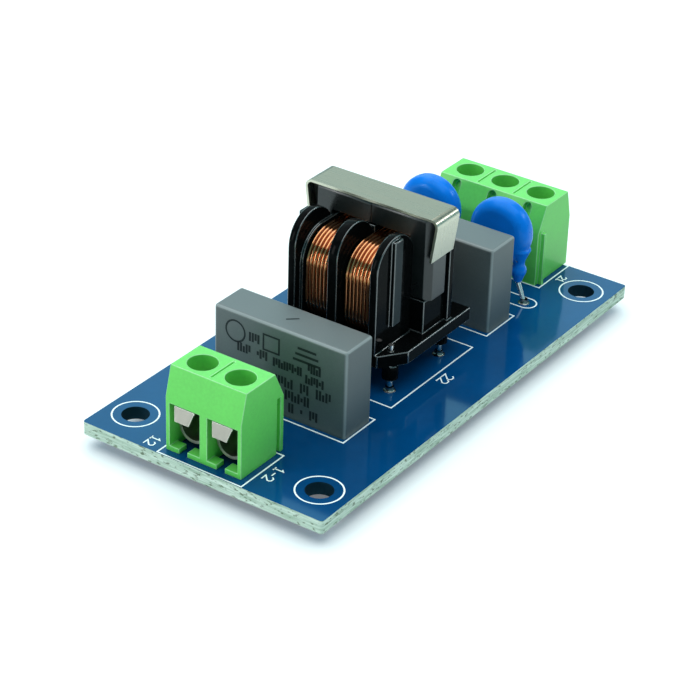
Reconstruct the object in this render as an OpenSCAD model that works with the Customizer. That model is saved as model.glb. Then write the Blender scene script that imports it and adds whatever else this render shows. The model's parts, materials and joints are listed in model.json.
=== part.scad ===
// Mains line filter module: a common mode choke, two box film capacitors, two disc
// capacitors and two screw terminal blocks on one printed circuit board.
// Millimetres. X runs along the board from the output end to the input end and +Z is up.
// The origin is the centre of the mounting-hole pattern, on the underside of the board.

/* [Board] */
// Length of the board along X
board_l = 64.4; // [60:0.2:72]
// Width of the board along Y
board_w = 32.4; // [31:0.2:36]
// Thickness of the board
board_t = 1.6; // [1.2:0.2:2]
// Distance of the mounting holes from the board's ends
hole_inset_x = 4.7; // [3:0.1:5.2]
// Distance of the mounting holes from the board's sides
hole_inset_y = 3.7; // [2.6:0.1:4]
// Diameter of the mounting holes
hole_d = 3.2; // [2.8:0.1:3.6]
// Radius of the board's corners
board_corner_r = 0.4; // [0.2:0.1:1.5]

/* [Spacing] */
// Share of the free length between the output block and its capacitor
output_block_share = 0.287; // [0.25:0.001:0.32]
// Share of the free length between the output side capacitor and the choke
output_box_share = 0.244; // [0.2:0.001:0.28]
// Share of the free length between the choke and the input side capacitor
input_box_share = 0.19; // [0.14:0.001:0.22]
// Share of the free length between the input side capacitor and the discs
disc_share = 0.136; // [0.1:0.001:0.15]

/* [Soldering] */
// Radial clearance round a lead in its board hole
lead_clearance = 0.15; // [0.1:0.05:0.3]
// How far the trimmed leads reach below the board
lead_trim = 1.5; // [1.1:0.1:2.5]
// Height of a solder cone below the board
solder_h = 1; // [0.6:0.1:1]
// Width of solder round a lead at the board
solder_foot = 0.65; // [0.4:0.05:0.8]
// Width of solder round a lead at the cone's tip
solder_tip = 0.15; // [0.1:0.05:0.3]

/* [Terminal blocks] */
// Distance between neighbouring poles
pole_pitch = 5.08; // [5:0.04:5.3]
// Poles of the output block
output_poles = 2; // [2:1:2]
// Poles of the input block
input_poles = 3; // [2:1:3]
// Depth of a block from its wire face to its back
term_depth = 7.6; // [7.4:0.1:8.2]
// Height of a block
term_h = 10.3; // [10:0.1:11]
// Height of the upright part of the wire face
term_front_h = 6.75; // [6.5:0.05:7.2]
// How far the sloped face above the wire windows leans back
term_front_slope = 0.92; // [0.7:0.05:1.1]
// Height of the upright part of the back
term_back_h = 7; // [6.8:0.1:7.4]
// How far the sloped back leans forward
term_back_slope = 1.64; // [1.4:0.05:1.8]
// Distance of the output block's wire face from the board's end
output_inset = 1.15; // [0.6:0.05:1.4]
// How far both blocks stand off the board's centre line
term_shift = 0.3; // [0:0.1:0.5]
// How far the input block's wire face overhangs the board's end
input_overhang = 0.5; // [0:0.05:0.8]
// Thickness of the back wall
term_back_wall = 1.5; // [1.4:0.05:1.6]
// Thickness of an outer side wall
term_side_wall = 0.515; // [0.45:0.01:0.56]
// Height of the window's lip above the board
lip_h = 0.65; // [0.5:0.05:0.8]
// Depth of the two lips along the wire's way
lip_depth = 1.4; // [1.2:0.05:1.45]
// Width of the slot between the two lips
lip_slot_w = 1.1; // [0.9:0.1:1.3]
// How far the slot lies off the pole's centre line
lip_slot_shift = 0.2; // [0:0.05:0.3]
// Height of the lintel over a wire window
lintel_h = 0.75; // [0.7:0.05:0.8]
// Depth of the lintel over a wire window
lintel_depth = 1; // [0.8:0.05:1.2]
// Diameter of a screw well
well_d = 3.4; // [3.3:0.05:3.6]
// Distance of a screw's axis from the wire face
screw_x = 3.24; // [3.1:0.02:3.3]
// Width of the key groove by which blocks join
key_w = 0.6; // [0.5:0.05:0.7]
// Depth of the key groove
key_depth = 0.6; // [0.4:0.05:0.7]
// Clearance of the key tongue in a neighbour's groove
key_fit = 0.05; // [0.03:0.01:0.08]
// Distance of the key from the back
key_inset = 0.9; // [0.8:0.05:1]
// Width of the score line between poles
score_w = 0.25; // [0.2:0.05:0.35]
// Depth of the score line
score_depth = 0.35; // [0.2:0.05:0.5]
// Length of the test slot in the sloped back
test_slot_l = 2.7; // [2.2:0.1:2.8]
// Width of the test slot
test_slot_w = 1.15; // [0.9:0.05:1.3]
// How far the test slot lies above the middle of the slope
test_slot_rise = 0.25; // [0:0.05:0.3]
// Depth of the test slot
test_slot_depth = 0.9; // [0.6:0.1:1]

/* [Terminal metalwork] */
// Gap between the metal cage and the housing's sides
cage_side_gap = 0.18; // [0.15:0.01:0.25]
// Thickness of the cage's sheet
cage_t = 0.35; // [0.3:0.05:0.4]
// Distance of the cage's mouth from the wire face
cage_inset = 1.5; // [1.45:0.05:1.7]
// Length of the cage
cage_l = 4.3; // [4:0.1:4.4]
// Height of the cage's bottom above the board
cage_lift = 1; // [0.9:0.05:1.1]
// Thickness of the cage's threaded bridge
bridge_t = 0.75; // [0.6:0.05:0.8]
// Diameter of a solder tail
tail_d = 1; // [0.8:0.1:1.2]
// Distance of a solder tail behind the screw's axis
tail_back = 0.7; // [0.5:0.1:0.9]
// Thickness of the wire guard
guard_t = 0.25; // [0.2:0.05:0.25]
// Width of the wire guard
guard_w = 2.7; // [2.5:0.1:2.8]
// Width of the guard's lower edge
guard_tip_w = 1.9; // [1.6:0.1:2.2]
// Length of the guard's hanging tab
guard_drop = 1.65; // [1.4:0.05:1.8]
// Forward lean of the hanging tab, in degrees
guard_lean = 18; // [8:1:22]
// Length of the guard's flat back from the wire face
guard_l = 5.6; // [5:0.1:5.7]
// Diameter of a terminal screw's head
screw_head_d = 3; // [2.8:0.05:3.15]
// Height of a terminal screw's head
screw_head_h = 1.15; // [1:0.05:1.3]
// Diameter of a terminal screw's thread
screw_d = 2.4; // [2.2:0.1:2.5]
// Width of the screwdriver slot
slot_w = 0.6; // [0.5:0.05:0.8]
// Depth of the screwdriver slot
slot_depth = 0.6; // [0.4:0.05:0.8]

/* [Film capacitors] */
// Thickness of a box capacitor
box_t = 5; // [4.8:0.05:5.3]
// Length of a box capacitor
box_l = 18; // [17.6:0.1:18.6]
// Height of a box capacitor
box_h = 11; // [10:0.1:12]
// Radius of the box's edges
box_edge_r = 0.4; // [0.3:0.05:0.5]
// Wall of the box
box_wall = 0.7; // [0.6:0.05:0.8]
// Depth of the open recess under the resin
resin_recess = 0.5; // [0.3:0.1:0.8]
// Distance of a lead from the box's end
box_lead_inset = 1.5; // [1.3:0.05:1.7]
// Lead diameter of a box capacitor
box_lead_d = 0.8; // [0.6:0.05:0.9]
// Resin between the film roll and the long walls
roll_cover = 0.5; // [0.3:0.05:0.6]
// Resin above and below the film roll
roll_end_cover = 1.1; // [0.8:0.1:1.4]

/* [Disc capacitors] */
// Diameter of a disc capacitor's coating
disc_d = 8.1; // [7.8:0.1:8.5]
// Thickness of the coating
disc_t = 3; // [2.8:0.1:3.3]
// Radius of the coating's rim
disc_rim_r = 1.3; // [1:0.05:1.35]
// Height of the disc's centre above the board
disc_z = 8.75; // [8.4:0.05:9.3]
// Diameter of the ceramic inside
ceramic_d = 5.6; // [5:0.1:5.8]
// Thickness of the ceramic inside
ceramic_t = 0.9; // [0.7:0.1:1]
// Lead pitch of a disc capacitor at the board
disc_pitch = 7.5; // [7:0.1:7.8]
// Distance between the two coated lead roots
root_pitch = 5.4; // [5:0.1:5.5]
// Lead diameter of a disc capacitor
disc_lead_d = 0.6; // [0.5:0.05:0.7]
// Place of the lower disc along Y
disc_y_low = -4.65; // [-4.9:0.05:-4.4]
// Place of the upper disc along Y
disc_y_high = 5.5; // [5.2:0.1:5.7]

/* [Choke] */
// Pin pitch along X
pin_pitch_x = 10.2; // [10:0.1:10.4]
// Pin pitch along Y
pin_pitch_y = 13.8; // [13.4:0.1:14]
// Pin diameter
pin_d = 0.65; // [0.5:0.05:0.8]
// How far a pin stands above the base's rail
pin_proud = 0.8; // [0.5:0.1:1.2]
// Height of a ferrite half's back
core_h = 10.35; // [10.2:0.05:10.6]
// Reach of a ferrite half from the joint to its end
core_reach = 8.1; // [8:0.05:8.4]
// Depth of the ferrite along X
core_depth = 4.15; // [4:0.05:4.3]
// Thickness of the ferrite's legs
core_leg = 2.65; // [2.5:0.05:2.8]
// Thickness of the ferrite's back
core_back = 2.75; // [2.6:0.05:2.8]
// Height of the ferrite's underside above the board
core_lift = 9.2; // [9:0.1:9.4]
// Radius of the ferrite's long edges
core_edge_r = 0.5; // [0.3:0.05:0.7]
// Chamfer of the ferrite's upright edges at its ends
core_chamfer = 0.75; // [0.4:0.05:1]
// Distance of the ferrite's front behind the pin pattern's centre
core_front = 0.25; // [0.1:0.05:0.4]
// Clearance between ferrite and bobbin
core_fit = 0.15; // [0.1:0.01:0.2]
// Thickness of the clip's strip
clip_t = 0.3; // [0.25:0.05:0.4]
// Width of the clip's strip
clip_w = 4.5; // [4.3:0.1:4.8]
// Length of the clip's legs
clip_leg = 4.4; // [3.8:0.1:5]
// Gap between the clip's upper corner and the ferrite's end
clip_gap = 0.6; // [0.5:0.05:0.8]

/* [Bobbin and windings] */
// Depth of a winding from its former to its outside
winding_depth = 2.8; // [2.6:0.05:3]
// Turns side by side in a winding's outer layer
turns = 8; // [6:1:8]
// Distance between neighbouring turns
turn_pitch = 0.5; // [0.48:0.005:0.51]
// Wire diameter
wire_d = 0.46; // [0.42:0.01:0.48]
// Clearance between a winding and a flange
winding_fit = 0.05; // [0.03:0.01:0.1]
// Thickness of the flange between the windings
middle_flange_t = 1.3; // [1.1:0.05:1.4]
// Thickness of the former's wall in front of the ferrite
former_front_wall = 3.2; // [3:0.05:3.4]
// Thickness of the former's wall behind the ferrite
former_back_wall = 0.6; // [0.5:0.05:0.8]
// Thickness of the former's walls over and under the ferrite
former_wall = 1.4; // [1.2:0.05:1.5]
// How far the lobes stand past the windings in front
flange_rim = 1.3; // [1.1:0.05:1.5]
// How far the lobes stand past the windings at the back
back_rim = 0.9; // [0.7:0.05:1.1]
// Height of the front lobes above the board
lobe_h = 18.6; // [18.4:0.05:18.8]
// Height of the back lobes above the board
back_lobe_h = 17.4; // [16.8:0.1:18]
// Radius of a lobe's upright edge beside the ferrite
lobe_edge_r = 0.5; // [0.3:0.05:0.6]
// Thickness of the end flanges inside the ferrite window
end_flange_t = 0.45; // [0.4:0.05:0.55]
// How far the end flanges stand past the windings
cheek_rim = 0.3; // [0.2:0.05:0.4]
// How far the end lobes stand out past the end flanges
lobe_proud = 0.9; // [0.7:0.05:1]
// Width of the rib on each front lobe
rib_w = 1.6; // [1.2:0.1:1.8]
// Distance of the rib from the lobe's front edge
rib_inset = 2.7; // [2.3:0.1:3]
// How far the rib stands out from its lobe
rib_proud = 0.5; // [0.4:0.05:0.7]
// Height of the rib's foot above the board
rib_foot = 7.7; // [7:0.1:8.4]
// Height of the base's underside above the board
base_lift = 3.5; // [3.3:0.1:3.6]
// Thickness of the base's end rails
rail_t = 1.6; // [1.5:0.1:1.8]
// Thickness of the base between the rails
floor_t = 0.9; // [0.7:0.05:0.95]
// Width of the base along Y
base_w = 17.2; // [16.8:0.1:17.6]
// Diameter of the boss under the base round a pin
boss_d = 1.9; // [1.6:0.1:2.4]
// Height of a boss's foot above the board
boss_foot = 1.6; // [1:0.1:2.2]
// Height of the posts behind the ferrite above the board
post_top = 16.4; // [14:0.1:17]
// Thickness of the posts behind the ferrite
post_t = 0.9; // [0.7:0.05:1.1]
// Length of the corner cuts along X
corner_cut_x = 3.1; // [2.6:0.1:3.4]
// Length of the corner cuts along Y
corner_cut_y = 2.2; // [1.8:0.1:2.3]

/* [Hidden] */
$fn = 64;
eps = 0.01;
// How far a cutting solid reaches past what it cuts
past = 1;

// Stations along the board: neighbours share out the length that no component fills
output_face_x = -board_l / 2 + output_inset;
input_face_x = board_l / 2 + input_overhang;
choke_front = former_front_wall + winding_depth + flange_rim + core_fit - core_front;
choke_back = core_front + core_depth + core_fit + former_back_wall + winding_depth + back_rim;
free_l = input_face_x - output_face_x - 2 * term_depth - 2 * box_t - disc_t - choke_front - choke_back;
output_box_x = output_face_x + term_depth + output_block_share * free_l + box_t / 2;
choke_x = output_box_x + box_t / 2 + output_box_share * free_l + choke_front;
input_box_x = choke_x + choke_back + input_box_share * free_l + box_t / 2;
disc_x = input_box_x + box_t / 2 + disc_share * free_l + disc_t / 2;
box_pitch = box_l - 2 * box_lead_inset;

// Choke, from the pin pattern outwards
core_x0 = choke_x + core_front;
core_x1 = core_x0 + core_depth;
core_xc = (core_x0 + core_x1) / 2;
core_top = core_lift + core_h;
window_y = core_reach - core_back;
window_top = core_top - core_leg;
former_x0 = core_x0 - core_fit - former_front_wall;
former_x1 = core_x1 + core_fit + former_back_wall;
former_z0 = core_lift - former_wall;
former_z1 = core_lift + core_leg + core_fit + former_wall;
coil_x0 = former_x0 - winding_depth;
coil_x1 = former_x1 + winding_depth;
coil_z0 = former_z0 - winding_depth;
coil_z1 = former_z1 + winding_depth;
former_corner_r = 1;
coil_w = (turns - 1) * turn_pitch + wire_d;
coil_y = middle_flange_t / 2 + winding_fit;
end_flange_y0 = coil_y + coil_w + winding_fit;
end_flange_y1 = end_flange_y0 + end_flange_t;
lobe_lap = 0.1;
lobe_y0 = end_flange_y1 - lobe_lap;
lobe_y1 = end_flange_y1 + lobe_proud;
flange_x0 = coil_x0 - flange_rim;
flange_x1 = coil_x1 + back_rim;
front_lobe_x1 = core_x0 - core_fit;
back_lobe_x0 = core_x1 + core_fit;
base_x0 = flange_x0;
base_x1 = flange_x1;
rail_top = base_lift + rail_t;
saddle_y1 = core_reach - 0.5;
rib_top_drop = 0.3;
clip_lap = 0.05;

// Terminal blocks, from the wire face backwards
term_window_w = pole_pitch - 2 * term_side_wall;
term_window_top = term_front_h - lintel_h;
chamber_l = term_depth - term_back_wall;
cage_w = term_window_w - 2 * cage_side_gap;
cage_r = cage_w / 2;
cage_inner_r = cage_r - cage_t;
cage_axis_z = cage_lift + cage_r;
bridge_z = term_window_top + 0.05;
bridge_top = bridge_z + bridge_t;
guard_top = term_window_top - 0.05;
tail_x = screw_x + tail_back;
screw_fit = 0.05;

// Lead holes: place along X and Y, and lead diameter
lead_tip_z = -lead_trim;
output_tails = [for (i = [0 : output_poles - 1]) [output_face_x + tail_x, term_shift + pole_y(i, output_poles), tail_d]];
input_tails = [for (i = [0 : input_poles - 1]) [input_face_x - tail_x, term_shift + pole_y(i, input_poles), tail_d]];
box_leads = [for (x = [output_box_x, input_box_x], s = [-1, 1]) [x, s * box_pitch / 2, box_lead_d]];
disc_leads = [for (y = [disc_y_low, disc_y_high], s = [-1, 1]) [disc_x, y + s * disc_pitch / 2, disc_lead_d]];
choke_leads = [for (sx = [-1, 1], sy = [-1, 1])
    [choke_x + sx * pin_pitch_x / 2, sy * pin_pitch_y / 2, pin_d]];
all_leads = concat(output_tails, input_tails, box_leads, disc_leads, choke_leads);

function pole_y(i, poles) = (i - (poles - 1) / 2) * pole_pitch;

module on_board() {
    translate([0, 0, board_t]) children();
}

// A square with its corners rounded, centred
module rounded_square(size_x, size_y, r) {
    square([size_x, size_y - 2 * r], center = true);
    square([size_x - 2 * r, size_y], center = true);
    for (sx = [-1, 1], sy = [-1, 1])
        translate([sx * (size_x / 2 - r), sy * (size_y / 2 - r)]) circle(r);
}

// A slot with round ends along its first axis, centred
module slot_outline(length, width) {
    square([length - width, width], center = true);
    for (s = [-1, 1]) translate([s * (length - width) / 2, 0]) circle(d = width);
}

// Pulls an outline drawn in Y and Z out along X
module along_x(length) {
    rotate([90, 0, 90]) linear_extrude(length) children();
}

// Pulls an outline drawn in X and Z out along Y, centred
module along_y(length) {
    rotate([90, 0, 0]) linear_extrude(length, center = true) children();
}

module circuit_board() {
    color("steelblue")
    difference() {
        linear_extrude(board_t) rounded_square(board_l, board_w, board_corner_r);
        for (sx = [-1, 1], sy = [-1, 1])
            translate([sx * (board_l / 2 - hole_inset_x), sy * (board_w / 2 - hole_inset_y), -past])
                cylinder(d = hole_d, h = board_t + 2 * past);
        for (p = all_leads)
            translate([p[0], p[1], -past])
                cylinder(d = p[2] + 2 * lead_clearance, h = board_t + 2 * past, $fn = 32);
    }
}

module solder_joints() {
    color("silver")
    for (p = all_leads)
        translate([p[0], p[1], -solder_h])
            difference() {
                cylinder(r1 = p[2] / 2 + solder_tip, r2 = p[2] / 2 + solder_foot, h = solder_h, $fn = 32);
                translate([0, 0, -past]) cylinder(d = p[2], h = solder_h + 2 * past, $fn = 32);
            }
}

// Terminal blocks are drawn with the wire face at X = 0, the back at +X and the board at Z = 0

module at_poles(poles) {
    for (i = [0 : poles - 1]) translate([0, pole_y(i, poles), 0]) children();
}

module terminal_profile() {
    polygon([
        [0, 0],
        [0, term_front_h],
        [term_front_slope, term_h],
        [term_depth - term_back_slope, term_h],
        [term_depth, term_back_h],
        [term_depth, 0],
    ]);
}

// Wire window, chamber, open floor and screw well of one pole
module pole_hollow() {
    translate([-past, -term_window_w / 2, lip_h])
        cube([chamber_l + past, term_window_w, term_window_top - lip_h]);
    translate([lintel_depth, -term_window_w / 2, lip_h])
        cube([chamber_l - lintel_depth, term_window_w, bridge_top + screw_fit - lip_h]);
    translate([lip_depth, -term_window_w / 2, -past])
        cube([chamber_l - lip_depth, term_window_w, lip_h + past + eps]);
    translate([-past, lip_slot_shift - lip_slot_w / 2, -past])
        cube([lip_depth + past + eps, lip_slot_w, lip_h + past + eps]);
    translate([screw_x, 0, bridge_top]) cylinder(d = well_d, h = term_h);
}

module test_slot() {
    slope_h = term_h - term_back_h;
    translate([term_depth - term_back_slope / 2, 0, (term_h + term_back_h) / 2])
        rotate([0, atan2(slope_h, term_back_slope), 0])
            translate([-test_slot_rise, 0, -test_slot_depth])
                linear_extrude(test_slot_depth + past) slot_outline(test_slot_l, test_slot_w);
}

module terminal_housing(poles) {
    width = poles * pole_pitch;
    key_x = term_depth - key_inset;
    tongue_w = key_w - 2 * key_fit;
    color("limegreen")
    difference() {
        union() {
            along_y(width) terminal_profile();
            translate([key_x - tongue_w / 2, 0, 0])
                cube([tongue_w, width / 2 + key_depth - key_fit, term_back_h]);
        }
        at_poles(poles) {
            pole_hollow();
            test_slot();
        }
        for (i = [1 : poles - 1])
            translate([term_front_slope + 0.5, (pole_y(i - 1, poles) + pole_y(i, poles)) / 2 - score_w / 2,
                       term_h - score_depth])
                cube([term_depth - term_front_slope - term_back_slope - 1, score_w, score_depth + past]);
        translate([key_x - key_w / 2, -width / 2 - past, -past])
            cube([key_w, key_depth + past, term_back_h + past]);
    }
}

module cage_outline(r, top) {
    circle(r);
    translate([-r, 0]) square([2 * r, top - cage_axis_z]);
}

// Box of folded sheet that takes the wire, with its threaded bridge and solder tail
module terminal_cage() {
    color("silver")
    difference() {
        union() {
            translate([cage_inset, 0, cage_axis_z]) along_x(cage_l) cage_outline(cage_r, bridge_top);
            translate([tail_x, 0, lead_tip_z - board_t])
                cylinder(d = tail_d, h = cage_lift + cage_t / 2 - lead_tip_z + board_t, $fn = 32);
        }
        translate([cage_inset - past, 0, cage_axis_z])
            along_x(cage_l + 2 * past) cage_outline(cage_inner_r, bridge_z);
        translate([screw_x, 0, bridge_z - past]) cylinder(d = screw_d + 2 * screw_fit, h = bridge_t + 2 * past);
    }
}

// Leaf under the screw that hangs over the wire's way in
module wire_guard() {
    color("gainsboro")
    translate([0, 0, guard_top]) {
        translate([0, -guard_w / 2, -guard_t]) cube([guard_l, guard_w, guard_t]);
        rotate([0, guard_lean, 0])
            rotate([90, 0, 90])
                linear_extrude(guard_t)
                    polygon([
                        [-guard_w / 2, 0],
                        [guard_w / 2, 0],
                        [guard_tip_w / 2, -guard_drop],
                        [-guard_tip_w / 2, -guard_drop],
                    ]);
    }
}

module terminal_screw() {
    color("silver")
    translate([screw_x, 0, 0])
        difference() {
            union() {
                translate([0, 0, bridge_top + screw_fit]) cylinder(d = screw_head_d, h = screw_head_h);
                translate([0, 0, guard_top + screw_fit])
                    cylinder(d = screw_d, h = bridge_top - guard_top + eps);
            }
            translate([-screw_head_d, -slot_w / 2, bridge_top + screw_fit + screw_head_h - slot_depth])
                cube([2 * screw_head_d, slot_w, slot_depth + past]);
        }
}

module output_side() {
    on_board() translate([output_face_x, term_shift, 0]) children();
}

module input_side() {
    on_board() translate([input_face_x, term_shift, 0]) rotate([0, 0, 180]) children();
}

module output_terminal_housing() { output_side() terminal_housing(output_poles); }
module output_terminal_cages() { output_side() at_poles(output_poles) terminal_cage(); }
module output_wire_guards() { output_side() at_poles(output_poles) wire_guard(); }
module output_terminal_screws() { output_side() at_poles(output_poles) terminal_screw(); }
module input_terminal_housing() { input_side() terminal_housing(input_poles); }
module input_terminal_cages() { input_side() at_poles(input_poles) terminal_cage(); }
module input_wire_guards() { input_side() at_poles(input_poles) wire_guard(); }
module input_terminal_screws() { input_side() at_poles(input_poles) terminal_screw(); }

// Box film capacitor, centred on X = 0 and Y = 0 with the board at Z = 0

cavity_t = box_t - 2 * box_wall;
cavity_l = box_l - 2 * box_wall;
cavity_h = box_h - box_wall;
resin_h = cavity_h - resin_recess;
roll_t = cavity_t - 2 * roll_cover;
roll_h = resin_h - 2 * roll_end_cover;
roll_z = resin_recess + resin_h / 2;
weld_l = 0.5;
roll_l = box_pitch - 2 * weld_l;
weld_z = roll_z + roll_h / 4;

module box_case() {
    color("slategray")
    difference() {
        hull() {
            for (sx = [-1, 1], sy = [-1, 1])
                translate([sx * (box_t / 2 - box_edge_r), sy * (box_l / 2 - box_edge_r), 0]) {
                    cylinder(r = box_edge_r, h = 1, $fn = 24);
                    translate([0, 0, box_h - box_edge_r]) sphere(box_edge_r, $fn = 24);
                }
        }
        translate([-cavity_t / 2, -cavity_l / 2, -past]) cube([cavity_t, cavity_l, cavity_h + past]);
    }
}

module film_roll() {
    color("lightgray")
    translate([0, 0, roll_z])
        along_y(roll_l) rotate(90) slot_outline(roll_h, roll_t);
}

// Round lead with a welded lug that meets the end of the roll
module box_lead(side) {
    color("silver")
    translate([0, side * box_pitch / 2, 0]) {
        translate([0, 0, lead_tip_z - board_t])
            cylinder(d = box_lead_d, h = weld_z + 1 - lead_tip_z + board_t, $fn = 32);
        translate([-box_lead_d / 4, min(0, -side * weld_l), weld_z - 1])
            cube([box_lead_d / 2, weld_l, 2]);
    }
}

module box_resin() {
    color("dimgray")
    difference() {
        translate([-cavity_t / 2, -cavity_l / 2, resin_recess]) cube([cavity_t, cavity_l, resin_h]);
        film_roll();
        for (s = [-1, 1]) box_lead(s);
    }
}

module output_box() {
    on_board() translate([output_box_x, 0, 0]) children();
}

module input_box() {
    on_board() translate([input_box_x, 0, 0]) children();
}

module output_capacitor_case() { output_box() box_case(); }
module output_capacitor_roll() { output_box() film_roll(); }
module output_capacitor_resin() { output_box() box_resin(); }
module output_capacitor_leads() { output_box() for (s = [-1, 1]) box_lead(s); }
module input_capacitor_case() { input_box() box_case(); }
module input_capacitor_roll() { input_box() film_roll(); }
module input_capacitor_resin() { input_box() box_resin(); }
module input_capacitor_leads() { input_box() for (s = [-1, 1]) box_lead(s); }

// Disc capacitor, centred on X = 0 and Y = 0 with the board at Z = 0

root_top_z = disc_z - 1;
root_tip_z = 2.6;
lead_top_z = disc_z + 0.6;
kink_top_z = disc_z - 2;
kink_end_z = 4.5;
pad_h = 1.1;
pad_w = 0.5;
pad_t = 0.05;
lead_face_x = ceramic_t / 2 + pad_t + disc_lead_d / 2;
bend_swell = 0.1;
bead_swell = 0.3;

// Round wire through a list of points, a little swollen at each bend
module wire(points, d) {
    for (i = [0 : len(points) - 2]) {
        run = points[i + 1] - points[i];
        translate(points[i])
            rotate([0, acos(run[2] / norm(run)), atan2(run[1], run[0])])
                cylinder(d = d, h = norm(run), $fn = 24);
    }
    for (i = [1 : len(points) - 2])
        translate(points[i]) sphere(d = d + bend_swell, $fn = 24);
}

// Lead on the +Y side, soldered to the ceramic's +X face
module disc_lead() {
    root_y = root_pitch / 2;
    foot_y = disc_pitch / 2;
    wire([
        [lead_face_x, root_y, lead_top_z],
        [lead_face_x, root_y, kink_top_z],
        [0, root_y, kink_end_z - bend_swell],
    ], disc_lead_d);
    translate([0, root_y, kink_end_z]) sphere(d = disc_lead_d + bead_swell, $fn = 24);
    wire([
        [0, root_y, kink_end_z],
        [0, root_y, root_tip_z],
        [0, foot_y, 0],
        [0, foot_y, lead_tip_z - board_t],
    ], disc_lead_d);
    translate([ceramic_t / 2, root_y - pad_w / 2, lead_top_z - pad_h - disc_lead_d])
        cube([lead_face_x - ceramic_t / 2, pad_w, pad_h]);
}

module disc_leads_pair() {
    color("silver") {
        disc_lead();
        rotate(180) disc_lead();
    }
}

module disc_ceramic() {
    color("tan")
    translate([-ceramic_t / 2, 0, disc_z]) rotate([0, 90, 0]) cylinder(d = ceramic_d, h = ceramic_t);
}

// Coating that has run down a lead: a neck, a drop and a blunt tip
module coated_root() {
    neck_r = 0.72;
    drop_r = 1;
    drop_z = 4.1;
    translate([0, 0, root_tip_z])
        cylinder(r1 = 0.5, r2 = drop_r * 0.8, h = drop_z - drop_r * 0.6 - root_tip_z);
    translate([0, 0, drop_z]) sphere(drop_r);
    translate([0, 0, drop_z]) cylinder(r = neck_r, h = root_top_z - drop_z);
    translate([0, 0, drop_z + drop_r + 0.3]) cylinder(r1 = neck_r, r2 = disc_t / 2 - 0.1, h = 1.6);
}

module disc_coating() {
    color("dodgerblue")
    difference() {
        union() {
            translate([0, 0, disc_z])
                rotate([0, 90, 0])
                    rotate_extrude() {
                        translate([0, -disc_t / 2]) square([disc_d / 2 - disc_rim_r, disc_t]);
                        translate([0, -disc_t / 2 + disc_rim_r]) square([disc_d / 2, disc_t - 2 * disc_rim_r]);
                        for (s = [-1, 1])
                            translate([disc_d / 2 - disc_rim_r, s * (disc_t / 2 - disc_rim_r)]) circle(disc_rim_r);
                    }
            for (s = [-1, 1]) translate([0, s * root_pitch / 2, 0]) coated_root();
        }
        disc_ceramic();
        disc_leads_pair();
    }
}

module disc_at(y) {
    on_board() translate([disc_x, y, 0]) children();
}

module lower_disc_coating() { disc_at(disc_y_low) disc_coating(); }
module lower_disc_ceramic() { disc_at(disc_y_low) disc_ceramic(); }
module lower_disc_leads() { disc_at(disc_y_low) disc_leads_pair(); }
module upper_disc_coating() { disc_at(disc_y_high) disc_coating(); }
module upper_disc_ceramic() { disc_at(disc_y_high) disc_ceramic(); }
module upper_disc_leads() { disc_at(disc_y_high) disc_leads_pair(); }

// Choke: every piece is drawn where it stands, with the board at Z = 0

// One U of ferrite on the +Y side of the joint
module ferrite_half() {
    color("darkslategray")
    difference() {
        intersection() {
            translate([core_xc, 0, core_lift + core_h / 2])
                rotate([-90, 0, 0]) linear_extrude(core_reach) rounded_square(core_depth, core_h, core_edge_r);
            translate([core_x0, 0, core_lift - past])
                linear_extrude(core_h + 2 * past)
                    polygon([
                        [0, -past],
                        [0, core_reach - core_chamfer],
                        [core_chamfer, core_reach],
                        [core_depth - core_chamfer, core_reach],
                        [core_depth, core_reach - core_chamfer],
                        [core_depth, -past],
                    ]);
        }
        translate([core_x0 - past, -past, core_lift + core_leg])
            cube([core_depth + 2 * past, window_y + past, core_h - 2 * core_leg]);
    }
}

// Strip over the upper legs whose sprung ends grip both halves
module ferrite_clip() {
    bend_y = core_reach;
    lean = atan2(clip_gap, clip_leg);
    color("tan")
    on_board()
    translate([core_xc - clip_w / 2, 0, core_top]) {
        translate([0, -bend_y - clip_lap, 0]) cube([clip_w, 2 * (bend_y + clip_lap), clip_t]);
        for (s = [0, 1])
            mirror([0, s, 0])
                translate([0, bend_y, -clip_gap])
                    rotate([90, 0, 90])
                        rotate(-lean) {
                            rotate_extrude(angle = 90 + lean)
                                translate([clip_gap, 0]) square([clip_t, clip_w]);
                            translate([clip_gap, -clip_leg, 0]) cube([clip_t, clip_leg + clip_lap, clip_w]);
                        }
    }
}

// Upright with a round top, from X0 to X1, drawn in X and Z
module lobe_outline(x0, x1, top) {
    lobe_r = (x1 - x0) / 2;
    translate([x0, base_lift]) square([x1 - x0, top - lobe_r - base_lift]);
    translate([x0 + lobe_r, top - lobe_r]) circle(lobe_r, $fn = 96);
}

module lobe_pair() {
    lobe_outline(flange_x0, front_lobe_x1, lobe_h);
    lobe_outline(back_lobe_x0, flange_x1, back_lobe_h);
}

module middle_flange_outline() {
    lobe_pair();
    translate([front_lobe_x1 - eps, base_lift])
        square([back_lobe_x0 - front_lobe_x1 + 2 * eps, window_top - core_fit - base_lift]);
}

// Thin cheek just larger than the winding, with a foot on the base
module end_flange_outline() {
    top = min(coil_z1 + cheek_rim, window_top - core_fit);
    width = coil_x1 - coil_x0 + 2 * cheek_rim;
    translate([(coil_x0 + coil_x1) / 2, (coil_z0 + top) / 2])
        rounded_square(width, top - coil_z0, former_corner_r + winding_depth);
    translate([coil_x0 - cheek_rim, base_lift]) square([width, (coil_z0 + top) / 2 - base_lift]);
}

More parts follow.
